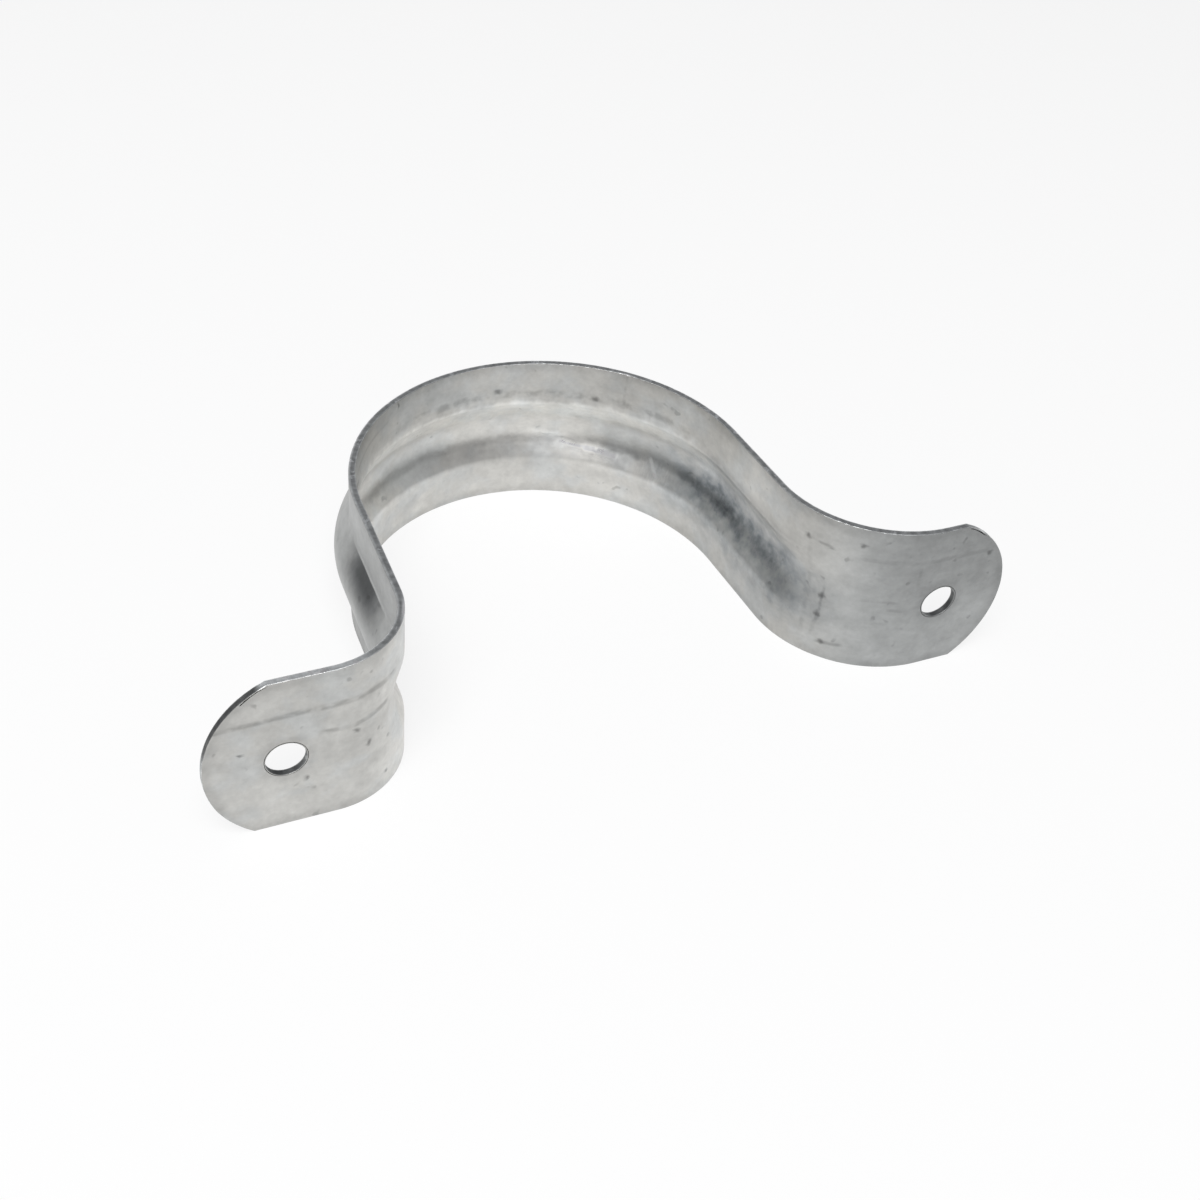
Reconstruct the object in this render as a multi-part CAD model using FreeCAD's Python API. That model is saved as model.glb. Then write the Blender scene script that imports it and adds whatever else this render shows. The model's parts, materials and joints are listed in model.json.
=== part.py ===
"""Two-hole conduit strap: one strip of galvanised sheet steel, pressed and bent.

Frame: the wall plane is XZ, the conduit runs along Z and the bow stands out
along +Y. The origin is on the wall plane, midway between the two screw holes.
The strap stands on the long cut edge of its strip, as it does beside an
upright conduit. All sizes are in millimetres.
"""
import FreeCAD
import Part
import math
import os
from FreeCAD import Vector

# The strip
sheet = 1.3                 # galvanised sheet, about 18 gauge
strip_width = 31.75         # 1 1/4 in
punch_drop = 1.0            # holes and end arcs sit this far below the strip's middle

# The bow and its legs
conduit_diameter = 73.0     # 2 1/2 in trade size
bow_clearance = 0.1         # between conduit and bow, on the radius
crown_height = 75.0         # wall plane to the inner face of the crown
leg_splay = 2.0             # each leg leans out by this angle

# The feet and ears: the left foot is bent tighter than the right one
left_foot_radius = 15.0     # to the middle of the sheet
right_foot_radius = 22.0
ear_tip = 75.0              # from the middle of the strap to each rounded end
ear_end_radius = 18.3       # its centre is level with the screw hole
hole_radius = 3.35
hole_inset = 13.6           # hole centre to the rounded end

# The stiffening rib, pressed outwards round the bow and down both legs
rib_half_width = 7.6        # middle of the rib to the start of its shoulder
rib_slope = 28.9            # of the rib's straight walls; it makes the rib 2.9 high
rib_drop = 0.5              # the rib's middle is this far below the strip's middle
shoulder_width = 1.0        # of the rounding where the rib rises from the strip
crest_half_width = 3.4      # of the rounded crest
run_out_length = 16.0       # path length over which the rib dies out in a foot
run_out_steps = 8

# Worked out from the above
half_sheet = sheet / 2
strip_top = strip_width / 2 + punch_drop
strip_bottom = strip_top - strip_width
rib_middle = punch_drop - rib_drop
bow_inner_radius = conduit_diameter / 2 + bow_clearance
bow_radius = bow_inner_radius + half_sheet
bow_centre = Vector(0, crown_height - bow_inner_radius, 0)
leg_turn = math.radians(90 - leg_splay)
wall_slope = math.radians(rib_slope)
hole_distance = ear_tip - hole_inset
overreach = 5.0             # how far a cutting tool passes the sheet

ALONG_CONDUIT = Vector(0, 0, 1)


def outward(turn):
    """Normal of the sheet, away from the conduit, at a turn from the crown."""
    return Vector(math.sin(turn), math.cos(turn), 0)


def along(turn):
    """Direction of the strip, away from the crown, at a turn from it."""
    return Vector(math.cos(turn), -math.sin(turn), 0)


class Foot:
    """The places that one leg and its foot bend are built from, on +X."""

    def __init__(self, radius):
        self.radius = radius
        self.leg_start = bow_centre + outward(leg_turn) * bow_radius
        leg_drop = self.leg_start.y - half_sheet - radius * (1 - math.cos(leg_turn))
        self.leg = along(leg_turn) * (leg_drop / math.sin(leg_turn))
        self.centre = self.leg_start + self.leg + outward(leg_turn) * radius

    def at(self, turn, rise, z):
        """Point in the foot bend: rise is outwards from the middle of the sheet."""
        return self.centre - outward(turn) * (self.radius - rise) + Vector(0, 0, z)


def rib_face(slope, offset):
    """One face of the sheet across its width, as points (rise, z).

    The face lies at the offset from the middle of the sheet. The points are
    the strip's top edge, then start, middle and end of the upper shoulder,
    start, top and end of the crest, the lower shoulder, and the bottom edge.
    """
    wall_end = rib_half_width - shoulder_width
    if slope:
        shoulder = shoulder_width / math.sin(slope) - offset
        upper = [(offset + shoulder * (1 - math.cos(a)),
                  rib_half_width - shoulder * math.sin(a))
                 for a in (0, slope / 2, slope)]
        crest = crest_half_width / math.sin(slope) + offset
        height = ((shoulder_width + crest_half_width) * math.tan(slope / 2)
                  + (wall_end - crest_half_width) * math.tan(slope))
        crest_side = (height + offset - crest * (1 - math.cos(slope)),
                      crest * math.sin(slope))
    else:
        height = 0
        upper = [(offset, rib_half_width), (offset, (rib_half_width + wall_end) / 2),
                 (offset, wall_end)]
        crest_side = (offset, crest_half_width)
    upper.append(crest_side)
    lower = [(rise, -z) for rise, z in reversed(upper)]
    rib = upper + [(height + offset, 0)] + lower
    rib = [(rise, rib_middle + z) for rise, z in rib]
    return [(offset, strip_top)] + rib + [(offset, strip_bottom)]


def ribbed_section(slope, place):
    """Closed outline across the sheet, put in space by place(rise, z)."""
    outer = [place(*p) for p in rib_face(slope, half_sheet)]
    inner = [place(*p) for p in reversed(rib_face(slope, -half_sheet))]
    edges = []
    for face, other in ((outer, inner), (inner, outer)):
        for k in (1, 4, 7):
            edges.append(Part.LineSegment(face[k - 1], face[k]))
            if slope:
                edges.append(Part.Arc(face[k], face[k + 1], face[k + 2]))
            else:
                edges.append(Part.LineSegment(face[k], face[k + 2]))
        edges.append(Part.LineSegment(face[9], face[10]))
        edges.append(Part.LineSegment(face[10], other[0]))
    return Part.Wire([edge.toShape() for edge in edges])


def make_bow():
    """The ribbed section turned about the conduit's axis, from leg to leg."""
    def place(rise, z):
        return bow_centre + outward(leg_turn) * (bow_radius + rise) + Vector(0, 0, z)

    section = Part.Face(ribbed_section(wall_slope, place))
    return section.revolve(bow_centre, ALONG_CONDUIT, 2 * math.degrees(leg_turn))


def make_leg(foot):
    """The ribbed section drawn straight down one leg."""
    def place(rise, z):
        return foot.leg_start + outward(leg_turn) * rise + Vector(0, 0, z)

    return Part.Face(ribbed_section(wall_slope, place)).extrude(foot.leg)


def make_run_out(foot):
    """The start of the foot bend, where the rib sinks back into the sheet."""
    sections = []
    for step in range(run_out_steps + 1):
        done = step / run_out_steps
        turn = leg_turn - done * run_out_length / foot.radius
        slope = wall_slope * (1 - done ** 2) ** 2

        def place(rise, z):
            return foot.at(turn, rise, z)

        sections.append(ribbed_section(slope, place))
    return Part.makeLoft(sections, True)


def make_ear(foot):
    """The rest of the foot bend and the flat ear, with its end and hole."""
    turn = leg_turn - run_out_length / foot.radius
    faces = []
    for rise in (half_sheet, -half_sheet):
        arc = [foot.at(t, rise, strip_bottom) for t in (turn, turn / 2, 0)]
        tip = Vector(ear_tip, arc[2].y, strip_bottom)
        faces.append((arc, tip))
    (outer, outer_tip), (inner, inner_tip) = faces
    edges = [Part.Arc(*outer), Part.LineSegment(outer[2], outer_tip),
             Part.LineSegment(outer_tip, inner_tip),
             Part.LineSegment(inner_tip, inner[2]), Part.Arc(*reversed(inner)),
             Part.LineSegment(inner[0], outer[0])]
    outline = Part.Wire([edge.toShape() for edge in edges])
    ear = Part.Face(outline).extrude(ALONG_CONDUIT * strip_width)
    return ear.common(ear_end_tool()).cut(hole_tool())


def ear_end_tool():
    """Everything that the die for the rounded end leaves on the ear."""
    toward_wall = Vector(0, -1, 0)
    start_y = crown_height
    depth = crown_height + overreach
    end_centre = Vector(ear_tip - ear_end_radius, start_y, 0)
    disc = Part.makeCylinder(ear_end_radius, depth, end_centre, toward_wall)
    keep = Part.makeBox(end_centre.x, depth, 2 * strip_width,
                        Vector(0, start_y - depth, -strip_width))
    return keep.fuse(disc)


def hole_tool():
    """The screw hole's punch."""
    start = Vector(hole_distance, -overreach, 0)
    return Part.makeCylinder(hole_radius, 2 * overreach, start, Vector(0, 1, 0))


def make_side(foot_radius):
    """Leg, foot bend and ear of the side on +X."""
    foot = Foot(foot_radius)
    return [make_leg(foot), make_run_out(foot), make_ear(foot)]


def make_strap():
    """The whole strap as one solid."""
    right = make_side(right_foot_radius)
    left = [shape.mirror(Vector(0, 0, 0), Vector(1, 0, 0))
            for shape in make_side(left_foot_radius)]
    return make_bow().multiFuse(right + left)


os.makedirs("parts", exist_ok=True)
make_strap().exportStep("parts/strap.step")
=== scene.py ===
"""Looks of the conduit strap: the pressed sheet with its cut edges, its zinc and the studio.

Lengths are in millimetres until a mesh is made from them, and in metres in
Blender. A place on the strap is given as (s, z, depth): s is the path length
along the middle of the sheet from the crown, positive toward +X, z is the
height across the strip, and depth is how far a point lies outwards from the
middle of the sheet.
"""
import json
import math

import bpy
import numpy as np
from mathutils import Matrix, Vector, noise


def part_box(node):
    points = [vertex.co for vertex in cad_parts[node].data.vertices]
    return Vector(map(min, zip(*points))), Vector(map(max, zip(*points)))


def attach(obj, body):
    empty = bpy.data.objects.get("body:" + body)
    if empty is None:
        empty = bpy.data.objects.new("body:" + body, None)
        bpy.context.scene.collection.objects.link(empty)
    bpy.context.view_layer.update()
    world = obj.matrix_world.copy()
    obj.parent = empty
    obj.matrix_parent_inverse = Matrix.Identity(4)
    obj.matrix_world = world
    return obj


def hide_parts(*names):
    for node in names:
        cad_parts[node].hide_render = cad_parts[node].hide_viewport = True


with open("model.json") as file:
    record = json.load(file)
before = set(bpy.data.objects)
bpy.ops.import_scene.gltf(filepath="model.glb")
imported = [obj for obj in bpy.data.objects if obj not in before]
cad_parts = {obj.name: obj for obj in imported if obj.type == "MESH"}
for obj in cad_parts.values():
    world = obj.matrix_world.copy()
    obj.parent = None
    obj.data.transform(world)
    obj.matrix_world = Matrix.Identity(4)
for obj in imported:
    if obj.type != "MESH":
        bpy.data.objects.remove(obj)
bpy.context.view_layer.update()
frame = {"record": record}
MM = 0.001
MOUNTS = {mount["name"]: mount for mount in frame["record"]["mounts"]}
LOW, HIGH = (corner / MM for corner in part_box("strap"))

# The strap's shape, as in the solid
sheet = 1.28                # a hair under the solid's 1.3, to stay inside its box
half_sheet = sheet / 2
strip_bottom, strip_top = LOW.z, HIGH.z
ear_tip = HIGH.x
rib_slope = math.radians(28.9)
rib_half_width = 7.6
rib_middle = 0.5            # height of the rib's middle
shoulder_width = 1.0
crest_half_width = 3.4
run_out_length = 16.0
left_foot_radius = 15.0
right_foot_radius = 22.0
ear_end_radius = 18.3
leg_splay = 2.0
leg_turn = math.radians(90 - leg_splay)
bow_inner_radius = MOUNTS["conduit_saddle"]["dims"]["r_mm"]
bow_radius = bow_inner_radius + half_sheet
bow_centre_y = MOUNTS["conduit_saddle"]["pos_m"][1] / MM
hole_distance = MOUNTS["screw_holes"]["dims"]["spacing_x_mm"] / 2
hole_radius = MOUNTS["screw_holes"]["dims"]["hole_r_mm"]

# How finely the sheet is divided
column_step = 0.55          # along the bow, the legs and the foot bends
ear_patch = 10.4            # the ear's own columns start this far before its hole
ear_columns = 34
row_counts = (10, 5, 5, 12, 5, 5, 8)    # from the top: flat, shoulder, wall, crest and back
eye_columns = (7, 23)       # the hole's own rings fill these of the ear's columns
eye_reach = 5.6             # and the rows up to here from the hole's middle
eye_rings = 6
eye_crowding = 0.8          # below 1, the rings get closer toward the hole
face_inset = 0.32           # the cut's own rings start this far inside the outline

# How rough the cuts are
cut_roughness = 0.07
short_wave = 2.1
long_wave = 6.7
far_from_rim = 9.0          # distances from the rim are kept up to this one


class Side:
    """The middle of the sheet from the crown to the end of one ear, on +X."""

    def __init__(self, foot_radius):
        self.foot_radius = foot_radius
        self.bow_end = bow_radius * leg_turn
        self.start_x = bow_radius * math.sin(leg_turn)
        self.start_y = bow_centre_y + bow_radius * math.cos(leg_turn)
        drop = self.start_y - half_sheet - foot_radius * (1 - math.cos(leg_turn))
        length = drop / math.sin(leg_turn)
        self.leg_end = self.bow_end + length
        self.flat_x = (self.start_x + length * math.cos(leg_turn)
                       + foot_radius * math.sin(leg_turn))
        self.flat_start = self.leg_end + foot_radius * leg_turn
        self.hole = float(self.length_to(np.array(hole_distance)))

    def length_to(self, x):
        """Path length to the points of the foot or ear at x."""
        before = np.clip((self.flat_x - x) / self.foot_radius, 0, 1)
        bent = self.flat_start - self.foot_radius * np.arcsin(before)
        return np.where(x > self.flat_x, self.flat_start + x - self.flat_x, bent)

    def at(self, s):
        """x, y, turn from the crown and slope of the rib's walls at path length s."""
        foot_turn = np.clip(leg_turn - (s - self.leg_end) / self.foot_radius, 0, None)
        turn = np.where(s < self.leg_end, np.minimum(s / bow_radius, leg_turn), foot_turn)
        down = np.clip(s, self.bow_end, self.leg_end) - self.bow_end
        flat = np.clip(s - self.flat_start, 0, None)
        in_foot = s > self.leg_end
        x = np.where(in_foot, self.flat_x - self.foot_radius * np.sin(turn) + flat,
                     bow_radius * np.sin(turn) + down * math.cos(leg_turn))
        foot_y = half_sheet + self.foot_radius * (1 - np.cos(turn))
        bow_y = bow_centre_y + bow_radius * np.cos(turn) - down * math.sin(leg_turn)
        done = np.clip((s - self.leg_end) / run_out_length, 0, 1)
        return x, np.where(in_foot, foot_y, bow_y), turn, rib_slope * (1 - done ** 2) ** 2


LEFT = Side(left_foot_radius)
RIGHT = Side(right_foot_radius)


def section(z, slope):
    """Rise of the ribbed sheet at z, and the normal of its middle (rise, z)."""
    slope = np.maximum(slope, 1e-6)
    across = np.abs(z - rib_middle)
    shoulder = shoulder_width / np.sin(slope)
    crest = crest_half_width / np.sin(slope)
    wall_top = rib_half_width - shoulder_width
    into = np.clip(rib_half_width - across, 0, shoulder_width)
    lean = np.arcsin(into / shoulder)
    rise = shoulder * (1 - np.cos(lean))
    rise += np.clip(wall_top - across, 0, wall_top - crest_half_width) * np.tan(slope)
    crest_lean = np.arcsin(np.clip(across, 0, crest_half_width) / crest)
    rise += crest * (np.cos(crest_lean) - np.cos(slope))
    lean = np.where(across < crest_half_width, crest_lean, lean)
    return rise, np.cos(lean), np.sin(lean) * np.sign(z - rib_middle)


def place(s, z, depth):
    """Points in space of places on the strap, in millimetres."""
    s, z, depth = np.broadcast_arrays(s, z, depth)
    points = []
    for side in (LEFT, RIGHT):
        x, y, turn, slope = side.at(np.abs(s))
        rise, out_share, z_share = section(z, slope)
        out = rise + depth * out_share
        points.append(np.stack([x + np.sin(turn) * out, y + np.cos(turn) * out,
                                z + depth * z_share], -1))
    left, right = points
    left = left * np.array([-1, 1, 1])
    return np.where((s < 0)[..., None], left, right)


def row_heights():
    """Heights of the rows across the strip, from its bottom edge to its top."""
    half = (crest_half_width, rib_half_width - shoulder_width, rib_half_width)
    stops = [-z for z in reversed(half)] + list(half)
    stops = [strip_bottom] + [rib_middle + z for z in stops] + [strip_top]
    rows = [strip_bottom]
    for low, high, count in zip(stops, stops[1:], reversed(row_counts)):
        rows.extend(np.linspace(low, high, count + 1)[1:])
    return np.array(rows)


def end_arc(z):
    """Distance from the strap's middle to the ear's rounded end at z."""
    return ear_tip - ear_end_radius + np.sqrt(ear_end_radius ** 2 - z ** 2)


def blank_columns(rows):
    """Places (s, z) of the whole strip's grid, columns first."""
    start = hole_distance - ear_patch
    u = np.linspace(0, 1, ear_columns + 1)[:, None]
    ear_x = start + u * (end_arc(rows)[None, :] - start)
    halves = []
    for side in (LEFT, RIGHT):
        ear = side.length_to(ear_x)
        count = round(float(ear[0, 0]) / column_step)
        middle = np.linspace(0, ear[0, 0], count + 1)[:-1, None] + 0 * rows[None, :]
        halves.append(np.concatenate([middle, ear]))
    left, right = halves
    s = np.concatenate([-left[:0:-1], right])
    return s, np.broadcast_to(rows, s.shape)


def ring_of(grid, columns, rows):
    """Grid numbers around a rectangle of cells, in order."""
    c0, c1 = columns
    r0, r1 = rows
    return np.concatenate([grid[c0:c1, r0], grid[c1, r0:r1],
                           grid[c1:c0:-1, r1], grid[c0, r1:r0:-1]])


def make_blank():
    """The flat pattern: places (s, z), four-sided faces, and its cut loops.

    Each loop is (numbers, places on the cut line, directions into the sheet).
    """
    rows = row_heights()
    s, z = blank_columns(rows)
    places = [np.stack([s, z], -1).reshape(-1, 2)]
    grid = np.arange(s.size).reshape(s.shape)
    columns, last_row = s.shape[0] - 1, s.shape[1] - 1
    eye_rows = tuple(int(np.abs(rows - z).argmin()) for z in (-eye_reach, eye_reach))
    first, last = eye_columns
    eyes = [(ear_columns - last, ear_columns - first),
            (columns - ear_columns + first, columns - ear_columns + last)]
    keep = np.ones((columns, last_row), bool)
    for c0, c1 in eyes:
        keep[c0:c1, eye_rows[0]:eye_rows[1]] = False
    a, b = grid[:-1, :-1][keep], grid[1:, :-1][keep]
    c, d = grid[1:, 1:][keep], grid[:-1, 1:][keep]
    faces = [np.stack([a, b, c, d], -1)]
    loops = [outline_loop(ring_of(grid, (0, columns), (0, last_row)), places[0])]
    count = s.size
    for eye, side, sign in ((eyes[0], LEFT, -1), (eyes[1], RIGHT, 1)):
        outer = ring_of(grid, eye, eye_rows)
        outer_places = places[0][outer]
        centre = np.array([sign * side.hole, 0.0])
        away = outer_places - centre
        away /= np.linalg.norm(away, axis=1)[:, None]
        end = centre + away * (hole_radius + face_inset)
        previous = outer
        for share in np.linspace(0, 1, eye_rings + 1)[1:] ** eye_crowding:
            places.append(outer_places + (end - outer_places) * share)
            ring = count + np.arange(len(outer))
            count += len(outer)
            faces.append(np.stack([previous, np.roll(previous, -1),
                                   np.roll(ring, -1), ring], -1))
            previous = ring
        loops.append((previous, centre + away * hole_radius, away))
    return np.concatenate(places), np.concatenate(faces), loops


def outline_loop(numbers, places):
    """The cut loop round the strip; its grid points move in from the outline."""
    cut = places[numbers].copy()
    along = np.roll(cut, -1, 0) - np.roll(cut, 1, 0)
    inward = np.stack([-along[:, 1], along[:, 0]], -1)
    inward /= np.linalg.norm(inward, axis=1)[:, None]
    places[numbers] = cut + inward * face_inset
    return numbers, cut, inward


def wander(places, step, seed):
    """Smooth noise from -1 to 1 along a list of places, in millimetres."""
    return np.array([noise.noise(Vector((p[0] / step, p[1] / step, seed)))
                     for p in places])


# Each ring of a cut: inset from the outline, depth, and its share of roughness.
# The shears drew the outer face over the edge, so it is rounded there.
CUT_RINGS = (
    (0.29, half_sheet, 0.0),
    (0.18, half_sheet - 0.04, 0.0),
    (0.09, half_sheet - 0.12, 0.1),
    (0.02, half_sheet - 0.26, 0.2),
    (0.0, half_sheet - 0.44, 0.5),
    (0.0, 0.0, 0.8),
    (0.0, -0.2, 1.0),
    (0.0, -half_sheet + 0.2, 1.0),
    (0.01, -half_sheet + 0.07, 0.8),
    (0.03, -half_sheet + 0.02, 0.6),
    (0.08, -half_sheet, 0.4),
)


def tears(cut, depth, index):
    """Roughness from 0 to 2 along one cut loop, at one depth."""
    short = wander(cut, short_wave, 2.3 * depth + 11 * index)
    long = wander(cut, long_wave, 1.1 * depth + 5 * index)
    return (0.5 + 0.5 * short) + (0.5 + 0.5 * long)


def rim_distances(blank):
    """How far each place of the flat pattern lies from the nearest cut."""
    rim = np.full(len(blank), far_from_rim)
    rim = np.minimum(rim, strip_top - blank[:, 1])
    rim = np.minimum(rim, blank[:, 1] - strip_bottom)
    for side, sign in ((LEFT, -1), (RIGHT, 1)):
        centre = float(side.length_to(np.array(ear_tip - ear_end_radius)))
        reach = np.hypot(blank[:, 0] * sign - centre, blank[:, 1])
        past = blank[:, 0] * sign > centre
        rim = np.where(past, np.minimum(rim, ear_end_radius - reach), rim)
        reach = np.hypot(blank[:, 0] * sign - side.hole, blank[:, 1])
        rim = np.minimum(rim, reach - hole_radius)
    return rim


def make_strap():
    """The whole strap as one mesh, with its places stored for the material.

    The attribute strip is each point's (s, z, depth). The attribute rim is its
    distance from the nearest cut, and is below 0 on the cut itself.
    """
    blank, quads, loops = make_blank()
    face_points = len(blank)
    rim = rim_distances(blank)
    s, z = blank.T
    places = [np.stack([s, z, np.full(face_points, depth)], -1)
              for depth in (half_sheet, -half_sheet)]
    rims = [rim, rim]
    faces = [quads, quads[:, ::-1] + face_points]
    count = 2 * face_points
    for index, (numbers, cut, inward) in enumerate(loops):
        size = len(numbers)
        previous = numbers
        for inset, depth, rough in CUT_RINGS:
            shift = inset + rough * cut_roughness * tears(cut, depth, index)
            ring_places = cut + inward * shift[:, None]
            places.append(np.column_stack([ring_places, np.full(size, depth)]))
            rims.append(np.full(size, inset - (half_sheet - abs(depth))))
            ring = count + np.arange(size)
            count += size
            faces.append(np.stack([np.roll(previous, -1), previous,
                                   ring, np.roll(ring, -1)], -1))
            previous = ring
        inner = numbers + face_points
        faces.append(np.stack([np.roll(previous, -1), previous,
                               inner, np.roll(inner, -1)], -1))
    places = np.concatenate(places)
    mesh = bpy.data.meshes.new("strap_sheet")
    points = place(*places.T) * MM
    mesh.from_pydata(points.tolist(), [], np.concatenate(faces).tolist())
    mesh.shade_smooth()
    strip = mesh.attributes.new("strip", "FLOAT_VECTOR", "POINT")
    strip.data.foreach_set("vector", places.astype(np.float32).ravel())
    edge = mesh.attributes.new("rim", "FLOAT", "POINT")
    edge.data.foreach_set("value", np.concatenate(rims).astype(np.float32))
    piece = bpy.data.objects.new("strap_sheet", mesh)
    bpy.context.scene.collection.objects.link(piece)
    return piece


strap = make_strap()
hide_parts("strap")
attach(strap, "root")

# The zinc: one material, whose nodes the functions below add to its tree
zinc = bpy.data.materials.new("galvanised_steel")
zinc.use_nodes = True
tree = zinc.node_tree

warm_zinc = (0.672, 0.664, 0.636, 1)
cool_zinc = (0.625, 0.655, 0.67, 1)
stained_zinc = (0.578, 0.632, 0.676, 1)
bump_strength = 0.6
bump_height = 0.05 * MM

# Lines along the rib, as heights on the strip
top_line = rib_middle + rib_half_width
bottom_line = rib_middle - rib_half_width
crest_line = rib_middle - crest_half_width

# Thin marks on the inner face: both ends as (s, z), half the width, and softness
DIE_SCRATCHES = (
    ((-124.5, 9.2), (-111, 9.5), 0.15, 0.6),
    ((-111, 9.5), (-93.5, 9.3), 0.2, 0.7),
    ((-107.5, 4.1), (-101.5, 3.7), 0.15, 0.6),
    ((-102, 3.7), (-95.5, 4.5), 0.15, 0.6),
)
BEND_MARKS = (
    ((88.8, 1.0), (88.7, -5.6), 0.05, 0.45),
    ((88.6, -5.0), (88.0, -9.5), 0.1, 0.5),
    ((89.8, -11.2), (93.5, -10.7), 0.1, 0.5),
    ((84.5, 11.2), (88.5, 10.8), 0.05, 0.45),
)
FAINT_SCRATCHES = (
    ((95, 10.3), (118, 10.3), 0.15, 0.6),
    ((96.5, 1.1), (101.5, 1.0), 0.1, 0.4),
    ((29.4, 10.4), (29.6, 17.0), 0.1, 0.35),
    ((101.3, -0.8), (102.8, -1.0), 0.1, 0.4),
    ((105, 8.2), (105.2, 5.0), 0.1, 0.4),
    ((-42, 12.6), (-26, 13.8), 0.1, 0.4),
    ((99, -4.2), (100.6, -4.0), 0.1, 0.4),
    ((84.8, 9.0), (86.2, -9.8), 0.1, 0.7),
)
BRIGHT_SCRAPES = (
    ((16.5, -3.3), (22.5, -4.1), 0.15, 0.6),
    ((22.0, -4.0), (28.2, -4.3), 0.3, 0.7),
    ((36.0, -3.2), (37.8, -5.2), 0.1, 0.5),
)

# Soft spots: s, z, and how far each reaches along s and z
DARK_SPOTS = (
    (-42.6, 10.2, 2.4, 0.8), (-101.8, 2.4, 0.9, 0.8), (-99.3, -1.9, 0.9, 1.0),
    (-120.5, 3.1, 0.7, 0.6), (-22.3, 15.6, 0.5, 1.1), (83.6, 11.2, 0.9, 0.8),
    (94.2, 13.1, 0.9, 0.8), (88.8, -0.7, 1.0, 1.0), (88.6, -4.9, 0.8, 1.1),
    (90.2, -11.1, 1.0, 0.8), (2.7, 10.6, 1.2, 0.8), (23.2, 9.6, 1.1, 0.8),
    (119.2, 9.4, 1.2, 0.8), (-110.3, -5.4, 0.6, 0.9), (-95.6, -11.4, 0.8, 0.7),
)
PALE_SPOTS = ((90, 7.6, 4.6, 5.0), (92.3, -8.6, 4.4, 3.4), (93, 0, 4.0, 4.0))
# The edge glints are painted highlights on the cuts.
EDGE_GLINTS = ((-107.6, 17, 1.0, 2.0), (-86.5, 17, 3.4, 2.0), (29.0, 17, 3.0, 2.0))


def link(socket, value):
    """Joins a socket to another one, or sets it."""
    if isinstance(value, bpy.types.NodeSocket):
        tree.links.new(value, socket)
    else:
        socket.default_value = value


def maths(operation, *values):
    """The result of one Math node."""
    node = tree.nodes.new("ShaderNodeMath")
    node.operation = operation
    for socket, value in zip(node.inputs, values):
        link(socket, value)
    return node.outputs[0]


def scaled(value, factor, offset):
    """The value times a factor, plus an offset."""
    return maths("MULTIPLY_ADD", value, factor, offset)


def fade(value, low, high, start=0.0, end=1.0):
    """Runs smoothly from start to end while value runs from low to high."""
    node = tree.nodes.new("ShaderNodeMapRange")
    node.interpolation_type = "SMOOTHSTEP"
    for socket, setting in zip(node.inputs, (value, low, high, start, end)):
        link(socket, setting)
    return node.outputs[0]


def both(first, *others):
    """Product of several shares."""
    for other in others:
        first = maths("MULTIPLY", first, other)
    return first


def either(first, *others):
    """The largest of several shares."""
    for other in others:
        first = maths("MAXIMUM", first, other)
    return first


def stored(name, output):
    """A value that the mesh stores at its points."""
    node = tree.nodes.new("ShaderNodeAttribute")
    node.attribute_name = name
    return node.outputs[output]


def split(vector):
    """The three parts of a vector."""
    node = tree.nodes.new("ShaderNodeSeparateXYZ")
    tree.links.new(vector, node.inputs[0])
    return node.outputs


S, Z, DEPTH = split(stored("strip", "Vector"))
RIM = stored("rim", "Fac")


def grain(s_waves, z_waves, detail, seed):
    """Noise from 0 to 1 over the strip, with so many waves per millimetre each way."""
    sample = tree.nodes.new("ShaderNodeCombineXYZ")
    link(sample.inputs[0], maths("MULTIPLY", S, s_waves))
    link(sample.inputs[1], maths("MULTIPLY", Z, z_waves))
    link(sample.inputs[2], scaled(DEPTH, 0.7, seed))
    node = tree.nodes.new("ShaderNodeTexNoise")
    node.inputs["Scale"].default_value = 1.0
    node.inputs["Detail"].default_value = detail
    tree.links.new(sample.outputs[0], node.inputs["Vector"])
    return node.outputs["Fac"]


# The strip's places, shaken so that marks have uneven outlines
SHAKE = maths("SUBTRACT", grain(0.35, 0.35, 2, 13.0), 0.5)
LOOSE_S = maths("ADD", S, scaled(grain(0.5, 0.5, 3, 3.1), 2.4, -1.2))
LOOSE_Z = maths("ADD", Z, scaled(grain(0.5, 0.5, 3, 8.7), 1.4, -0.7))
FAR_Z = maths("ADD", Z, scaled(grain(0.3, 0.35, 3, 5.3), 6.0, -3.0))
RAGGED_Z = scaled(SHAKE, 2.2, Z)

# Shares: on the sheared edge, on the inner face of the sheet, on the outer one
RAW_EDGE = maths("SUBTRACT", RIM, maths("MULTIPLY", grain(1.3, 1.3, 3, 2.2), 0.16))
ON_CUT = fade(RAW_EDGE, -0.05, 0.03, 1.0, 0.0)
INSIDE = fade(DEPTH, -0.3, 0.3, 1.0, 0.0)
OUTSIDE = maths("SUBTRACT", 1.0, INSIDE)


def near(value, centre, half, soft):
    """1 within half of the centre, then down to 0 over soft."""
    off = maths("ABSOLUTE", maths("SUBTRACT", value, centre))
    return fade(off, half, half + soft, 1.0, 0.0)


def spot(s, z, s_reach, z_reach):
    """A soft spot on the strip."""
    across = maths("DIVIDE", maths("SUBTRACT", LOOSE_S, s), s_reach)
    up = maths("DIVIDE", maths("SUBTRACT", LOOSE_Z, z), z_reach)
    off = maths("SQRT", maths("MULTIPLY_ADD", across, across, both(up, up)))
    return fade(off, 0.1, 1.1, 1.0, 0.0)


def spots(marks):
    """Several soft spots."""
    return either(*(spot(*mark) for mark in marks))


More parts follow.
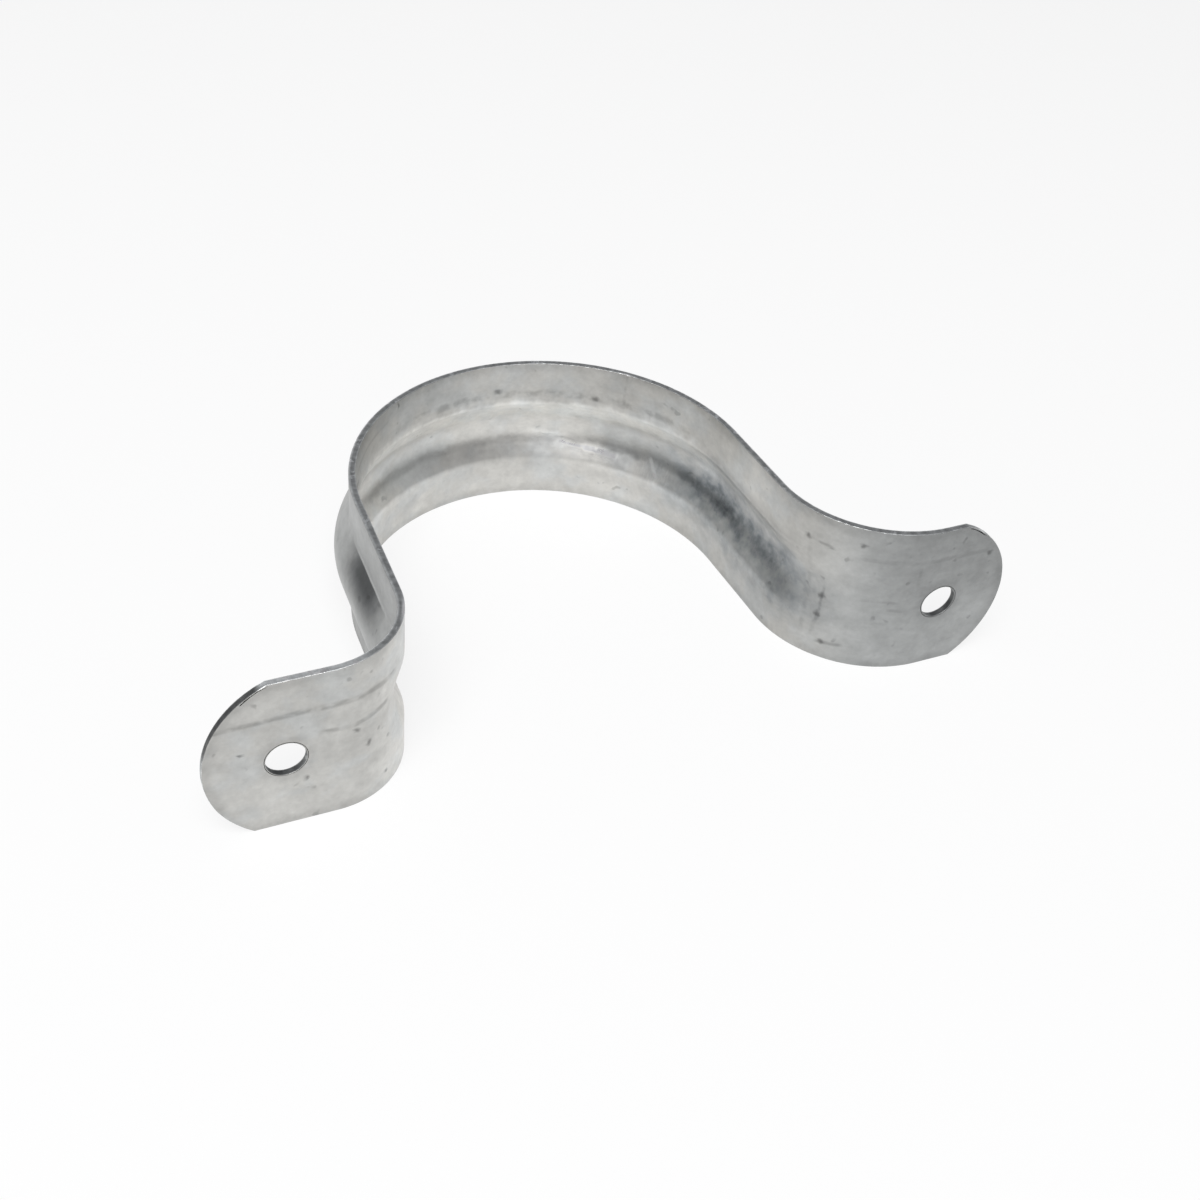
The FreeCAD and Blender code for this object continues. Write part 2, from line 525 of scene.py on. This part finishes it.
def stroke(start, end, half, soft):
    """A thin soft mark between two places on the strip."""
    (s0, z0), (s1, z1) = start, end
    length = math.hypot(s1 - s0, z1 - z0)
    cs, cz = (s1 - s0) / length, (z1 - z0) / length
    ds, dz = maths("SUBTRACT", S, s0), maths("SUBTRACT", Z, z0)
    run = maths("ADD", both(ds, cs), both(dz, cz))
    off = maths("SUBTRACT", both(ds, -cz), both(dz, -cs))
    off = maths("MULTIPLY_ADD", SHAKE, 0.5, off)
    return both(near(run, length / 2, length / 2, 1.2), near(off, 0.0, half, soft))


def strokes(marks):
    """Several thin marks."""
    return either(*(stroke(*mark) for mark in marks))


def darker(tone, *shares):
    """The tone, less an amount of it at each (share, amount); below 0 brightens."""
    for share, amount in shares:
        tone = both(tone, scaled(share, -amount, 1.0))
    return tone


def mottle():
    """The zinc's brightness: clouds, patches and speckle of its own, and a band darker near
    the cuts.
    """
    clouds = scaled(grain(0.05, 0.07, 3, 1.0), 0.3, 0.85)
    patches = scaled(grain(0.28, 0.34, 4, 4.0), 0.42, 0.79)
    speckle = scaled(grain(1.2, 1.2, 3, 6.0), 0.22, 0.89)
    rim_band = both(fade(RIM, 2.6, 0.5), grain(0.3, 0.3, 3, 9.0))
    return darker(both(clouds, patches, speckle), (rim_band, 0.26))


def paint_rib_light_and_shade(tone):
    """Painted light and shade on the rib's inner face: darker flanges, lips and a patch of
    crest, lighter walls.
    """
    bow = near(S, -5, 52, 14)
    above = fade(RAGGED_Z, top_line - 0.9, top_line + 1.3)
    below = fade(RAGGED_Z, bottom_line - 1.6, bottom_line + 0.6, 1.0, 0.0)
    ribbed = both(INSIDE, near(S, 3, 72, 14))
    lip = near(Z, top_line - 0.5, 0.3, 0.9)
    high_wall = both(fade(Z, rib_middle + 1.6, rib_middle + 4.0),
                     fade(RAGGED_Z, top_line + 0.2, top_line - 0.9),
                     fade(S, 0, 45, 0.25, 0.09))
    low_wall = both(fade(RAGGED_Z, crest_line + 0.4, crest_line - 2.8),
                    fade(RAGGED_Z, bottom_line + 0.2, bottom_line + 1.3),
                    scaled(near(S, 8, 14, 16), -0.22, 0.2))
    leg_wall = both(near(RAGGED_Z, 3.6, 1.2, 1.9), near(LOOSE_S, 66, 14, 12))
    leg_lip = both(near(RAGGED_Z, 7.6, 0.7, 2.4), near(LOOSE_S, 64, 10, 12))
    left_crest = both(near(Z, rib_middle, 2.4, 1.5), near(LOOSE_S, -28, 9, 12))
    return darker(tone,
                  (both(INSIDE, bow, above), 0.24),
                  (both(INSIDE, bow, below), 0.1),
                  (both(ribbed, lip), 0.1),
                  (both(ribbed, maths("ADD", high_wall, low_wall)), -1.0),
                  (both(ribbed, leg_wall), -0.3),
                  (both(ribbed, leg_lip), 0.1),
                  (both(INSIDE, left_crest), 0.1))


def paint_end_tone_light_and_shade(tone):
    """Broad tone differences of the legs, feet and ears, and a darker outer face: partly the
    zinc's own tone, partly painted light and shade.
    """
    right_leg = fade(LOOSE_S, 38, 62)
    right_leg_top = both(near(S, 58, 14, 12), fade(Z, 7.5, 10))
    right_leg_bottom = both(near(S, 60, 16, 12), fade(Z, -7, -8.5))
    right_ear = fade(LOOSE_S, 84, 104)
    right_ear_top = both(fade(S, 92, 104), fade(FAR_Z, -6, 9))
    left_ear = fade(LOOSE_S, -98, -84, 1.0, 0.0)
    left_foot = both(INSIDE, near(LOOSE_S, -90, 4, 5))
    return darker(tone, (right_leg, 0.24), (right_leg_top, -0.14),
                  (right_leg_bottom, 0.1), (right_ear, 0.2), (right_ear_top, 0.2),
                  (left_ear, 0.16), (left_foot, -0.14), (OUTSIDE, 0.36),
                  (both(OUTSIDE, fade(Z, -1, -4)), 0.16))


def shade_groove(tone):
    """Painted shade along the groove: a dark line in it, and painted shadows beside it."""
    patchy = scaled(fade(grain(0.25, 0.5, 3, 15.0), 0.36, 0.64), 0.5, 0.5)
    line_z = scaled(SHAKE, 1.6, Z)
    line = both(near(line_z, crest_line, 0.15, 1.1), near(S, 8, 46, 14), INSIDE, patchy)
    crown = both(near(RAGGED_Z, -5.5, 1.2, 2.2), near(LOOSE_S, 3, 5, 14))
    crest = both(near(RAGGED_Z, 0.9, 2.0, 1.8), near(LOOSE_S, 34, 6, 12))
    trail = both(near(line_z, -2.6, 0.3, 1.5), near(LOOSE_S, 34, 8, 9))
    return darker(tone, (line, 0.3), (both(INSIDE, crown), 0.14),
                  (both(INSIDE, crest), 0.2), (both(INSIDE, trail), 0.22))


def stain_share():
    """The blue-grey stain in the groove of the right leg."""
    ragged = both(fade(grain(0.55, 0.6, 5, 18.0), 0.3, 0.7, 0.66, 1.12),
                  fade(grain(0.16, 0.16, 2, 19.0), 0.3, 0.6, 0.82, 1.0))
    halo = both(near(FAR_Z, -2.9, 1.6, 7.2), near(LOOSE_S, 64, 14, 20), 0.62)
    core = both(near(FAR_Z, -2.4, 0.6, 4.6), near(LOOSE_S, 61, 9, 20))
    return both(either(halo, core), INSIDE, ragged)


def crease_shade_share():
    """Painted shade in the crease under the rib's upper shoulder, outside on the left leg."""
    loose_top = scaled(SHAKE, 0.4, Z)
    return both(fade(Z, rib_middle - 0.8, top_line - 2.4),
                fade(loose_top, top_line - 1.1, top_line - 0.6, 1.0, 0.0),
                near(LOOSE_S, -66.5, 3, 10), OUTSIDE)


def cool_share(crease):
    """Where the zinc is bluer: in patches, in the crease's painted shade, outside and at the
    ears.
    """
    patches = fade(grain(0.14, 0.16, 4, 70.0), 0.42, 0.66, 0.0, 0.45)
    right_ear = fade(S, 80, 100, 0.0, 0.6)
    left_ear = fade(S, -100, -85, 0.1, 0.0)
    return either(patches, crease, right_ear, both(OUTSIDE, 0.5), left_ear)


def dark_marks(tone):
    """Die scratches, bend marks, spots and specks, as the tone and their depth."""
    breaks = fade(grain(0.32, 0.5, 2, 21.0), 0.36, 0.6, 0.25, 1.0)
    scratches = both(strokes(DIE_SCRATCHES), breaks, INSIDE)
    bends = both(strokes(BEND_MARKS), breaks, INSIDE)
    faint = both(strokes(FAINT_SCRATCHES), breaks, INSIDE)
    row = both(near(scaled(SHAKE, 1.2, Z), 9.8, 0.2, 1.0), near(S, 12, 28, 8), INSIDE,
               fade(grain(0.34, 0.34, 3, 27.0), 0.42, 0.66))
    dark_spots = both(spots(DARK_SPOTS), INSIDE)
    specks = both(fade(grain(0.5, 0.5, 1, 30.0), 0.68, 0.78),
                  fade(grain(0.2, 0.2, 1, 33.0), 0.45, 0.6))
    tone = darker(tone, (scratches, 0.3), (bends, 0.26), (faint, 0.14), (row, 0.26),
                  (dark_spots, 0.5), (specks, 0.26))
    return tone, either(scratches, bends, both(dark_spots, 0.6))


def bright_marks(tone):
    """Zinc rubbed bright and dragged along the groove, partly wear and partly painted
    highlights, as the tone and its share.
    """
    drag = scaled(S, 0.2, scaled(SHAKE, 3.0, Z))
    flecks = fade(grain(0.3, 0.9, 4, 36.0), 0.38, 0.56)
    smear = both(near(drag, 0.3, 0.7, 1.3), near(LOOSE_S, 20, 7, 5), flecks, 0.75)
    scrapes = strokes(BRIGHT_SCRAPES)
    smear = either(smear, both(scrapes, fade(flecks, 0.0, 0.6, 0.45, 1.0)))
    comb = fade(grain(0.8, 0.3, 4, 37.0), 0.42, 0.62)
    flash = both(near(LOOSE_S, 37, 2.2, 2.4), near(Z, -4.6, 0.8, 1.9), comb)
    rubbed_and_sheen = both(either(smear, both(flash, 0.6)), INSIDE)
    tone = scaled(rubbed_and_sheen, 0.4, tone)
    tone = scaled(both(scrapes, INSIDE), 0.3, tone)
    return scaled(both(spots(PALE_SPOTS), INSIDE), 0.08, tone), rubbed_and_sheen


def tone_of_cut():
    """The sheared edges: dark broken steel between rims of zinc, with bright flakes that are
    partly bits of zinc and partly painted glints.
    """
    tone = scaled(grain(0.9, 0.9, 4, 40.0), 1.0, 0.22)
    rims = either(fade(DEPTH, 0.1, 0.4), fade(DEPTH, -0.35, -0.6))
    tone = scaled(both(rims, grain(0.5, 0.5, 3, 46.0)), 0.7, tone)
    flakes_and_glints = fade(grain(0.5, 0.5, 3, 43.0), 0.61, 0.68)
    tone = scaled(flakes_and_glints, 0.6, tone)
    # Painted highlights: a few bright glints on the cut edges.
    glint = spots(EDGE_GLINTS)
    tone = scaled(both(glint, fade(DEPTH, 0.0, -0.4)), 0.9, tone)
    left_ear_top = both(fade(S, -96, -102), fade(Z, 12, 15))
    tone = scaled(left_ear_top, 0.5, tone)
    # Painted shade on the cut of the left ear's rounded end and on the walls of the holes.
    left_ear_end = both(near(S, -122, 4.5, 1.5), fade(Z, 2, 6))
    holes = both(near(maths("ABSOLUTE", S), (LEFT.hole + RIGHT.hole) / 2, 6, 1),
                 near(Z, 0.0, 4, 0.5))
    dark = either(both(left_ear_end, 0.8), both(holes, 0.6))
    return darker(tone, (dark, 1.0)), flakes_and_glints


def mixed(kind, factor, first, second):
    """Two values or two colours mixed by a share."""
    node = tree.nodes.new("ShaderNodeMix")
    node.data_type = kind
    sockets = [socket for socket in node.inputs if socket.enabled]
    for socket, value in zip(sockets, (factor, first, second)):
        link(socket, value)
    return next(socket for socket in node.outputs if socket.enabled)


def make_zinc():
    """The finished zinc: colour, roughness and bump."""
    shader = tree.nodes["Principled BSDF"]
    stain, crease = stain_share(), crease_shade_share()
    tone = shade_groove(paint_end_tone_light_and_shade(paint_rib_light_and_shade(mottle())))
    # The stain darkens the zinc; the crease's darkening is painted shade.
    tone = darker(tone, (stain, 0.6), (crease, 0.82))
    tone, hollow = dark_marks(tone)
    tone, rubbed_and_sheen = bright_marks(tone)
    cut_tone, flakes_and_glints = tone_of_cut()
    torn = both(ON_CUT, maths("SUBTRACT", 1.0, flakes_and_glints))

    tint = mixed("RGBA", either(cool_share(crease), both(ON_CUT, 0.7)), warm_zinc, cool_zinc)
    stained = both(stain, maths("SUBTRACT", 1.0, ON_CUT))
    tint = mixed("RGBA", stained, tint, stained_zinc)
    colour = tree.nodes.new("ShaderNodeVectorMath")
    colour.operation = "SCALE"
    tree.links.new(tint, colour.inputs[0])
    tree.links.new(mixed("FLOAT", ON_CUT, tone, cut_tone), colour.inputs["Scale"])
    tree.links.new(colour.outputs[0], shader.inputs["Base Color"])
    shader.inputs["Metallic"].default_value = 1.0

    rough = scaled(grain(0.5, 0.5, 3, 50.0), 0.2, 0.31)
    rough = scaled(rubbed_and_sheen, -0.12, rough)
    rough = scaled(stain, 0.08, rough)
    rough = scaled(torn, 0.1, rough)
    tree.links.new(rough, shader.inputs["Roughness"])

    height = maths("MULTIPLY", grain(1.1, 1.1, 4, 55.0), 0.5)
    height = scaled(grain(0.3, 0.3, 2, 58.0), 1.2, height)
    height = scaled(hollow, -0.8, height)
    height = scaled(both(ON_CUT, grain(1.6, 1.6, 3, 61.0)), 2.2, height)
    bump = tree.nodes.new("ShaderNodeBump")
    bump.inputs["Strength"].default_value = bump_strength
    bump.inputs["Distance"].default_value = bump_height
    tree.links.new(height, bump.inputs["Height"])
    tree.links.new(bump.outputs["Normal"], shader.inputs["Normal"])


make_zinc()
strap.data.materials.append(zinc)


# The studio, in metres
white_share = 0.82          # of the floor's look; the rest is lit, and shows the shadow
floor_radius = 2.2
sweep = 0.4                 # radius of the curve from the floor up to the wall
wall_height = 0.8
floor_steps = 96
sweep_steps = 12
floor_paint = (0.9, 0.9, 0.9, 1)
lamp_place = Vector((-0.35, -0.5, 1.1))
lamp_aim = Vector((0, 0.04, 0))
lamp_size = 0.8
lamp_power = 16
sky = (0.2, 0.2, 0.21, 1)

# The camera: directions in degrees, lengths in metres, lens and sensor in millimetres
camera_azimuth = -24.02
camera_elevation = 37.96
camera_roll = 3.79
camera_distance = 0.3057
camera_aim = Vector((0.0, 0.0514, -0.0079))
camera_lens = 46.19
camera_sensor = 36
camera_shift = (0.0637, -0.0545)


def show_white(paint_tree, shader):
    """Lets the camera and the metal's gloss see the surface as nearly white."""
    path = paint_tree.nodes.new("ShaderNodeLightPath")
    seen = path.outputs["Is Camera Ray"]
    for name in ("Is Glossy Ray", "Is Transmission Ray"):
        union = paint_tree.nodes.new("ShaderNodeMath")
        union.operation = "MAXIMUM"
        paint_tree.links.new(seen, union.inputs[0])
        paint_tree.links.new(path.outputs[name], union.inputs[1])
        seen = union.outputs[0]
    share = paint_tree.nodes.new("ShaderNodeMath")
    share.operation = "MULTIPLY"
    share.inputs[1].default_value = white_share
    paint_tree.links.new(seen, share.inputs[0])
    white = paint_tree.nodes.new("ShaderNodeEmission")
    blend = paint_tree.nodes.new("ShaderNodeMixShader")
    paint_tree.links.new(share.outputs[0], blend.inputs[0])
    paint_tree.links.new(shader.outputs[0], blend.inputs[1])
    paint_tree.links.new(white.outputs[0], blend.inputs[2])
    output = paint_tree.nodes["Material Output"]
    paint_tree.links.new(blend.outputs[0], output.inputs["Surface"])


def make_floor():
    """The pale floor that the strap stands on, rising to a low wall all round."""
    level = LOW.z * MM
    profile = [(floor_radius + sweep * math.sin(a), level + sweep * (1 - math.cos(a)))
               for a in np.linspace(0, math.pi / 2, sweep_steps + 1)]
    profile.append((profile[-1][0], level + wall_height))
    points = [(0.0, 0.0, level)]
    faces = []
    for ring, (radius, height) in enumerate(profile):
        for step in range(floor_steps):
            turn = 2 * math.pi * step / floor_steps
            points.append((radius * math.cos(turn), radius * math.sin(turn), height))
            here, after = (1 + ring * floor_steps + k % floor_steps for k in (step, step + 1))
            if ring:
                faces.append((here - floor_steps, after - floor_steps, after, here))
            else:
                faces.append((0, here, after))
    mesh = bpy.data.meshes.new("floor")
    mesh.from_pydata(points, [], faces)
    mesh.shade_smooth()
    floor = bpy.data.objects.new("floor", mesh)
    bpy.context.scene.collection.objects.link(floor)
    paint = bpy.data.materials.new("floor")
    paint.use_nodes = True
    shader = paint.node_tree.nodes["Principled BSDF"]
    shader.inputs["Base Color"].default_value = floor_paint
    shader.inputs["Roughness"].default_value = 1.0
    shader.inputs["Specular IOR Level"].default_value = 0.0
    show_white(paint.node_tree, shader)
    mesh.materials.append(paint)


def make_lamp():
    """One square soft lamp, over the strap and a little to the left."""
    light = bpy.data.lights.new("overhead", "AREA")
    light.shape = "SQUARE"
    light.size = lamp_size
    light.energy = lamp_power
    lamp = bpy.data.objects.new("overhead", light)
    lamp.location = lamp_place
    lamp.rotation_euler = (lamp_aim - lamp_place).to_track_quat("-Z", "Y").to_euler()
    bpy.context.scene.collection.objects.link(lamp)


def make_world():
    """The even light from all sides."""
    world = bpy.data.worlds.new("studio")
    bpy.context.scene.world = world
    world.use_nodes = True
    background = world.node_tree.nodes["Background"]
    background.inputs["Color"].default_value = sky
    background.inputs["Strength"].default_value = 1.0


def make_camera():
    """The camera, from its direction, roll, distance and aim."""
    azimuth, elevation, roll = (math.radians(a) for a in
                                (camera_azimuth, camera_elevation, camera_roll))
    back = Vector((math.sin(azimuth) * math.cos(elevation),
                   -math.cos(azimuth) * math.cos(elevation), math.sin(elevation)))
    level = Vector((math.cos(azimuth), math.sin(azimuth), 0))
    up = back.cross(level)
    right = level * math.cos(roll) + up * math.sin(roll)
    up = back.cross(right)
    camera = bpy.data.objects.new("camera", bpy.data.cameras.new("camera"))
    camera.data.sensor_width = camera_sensor
    camera.data.lens = camera_lens
    camera.data.shift_x, camera.data.shift_y = camera_shift
    turn = Matrix((right, up, back)).transposed().to_4x4()
    camera.matrix_world = Matrix.Translation(camera_aim + back * camera_distance) @ turn
    bpy.context.scene.collection.objects.link(camera)
    bpy.context.scene.camera = camera


make_floor()
make_lamp()
make_world()
make_camera()
bpy.context.scene.view_settings.view_transform = "Standard"

bpy.context.view_layer.update()
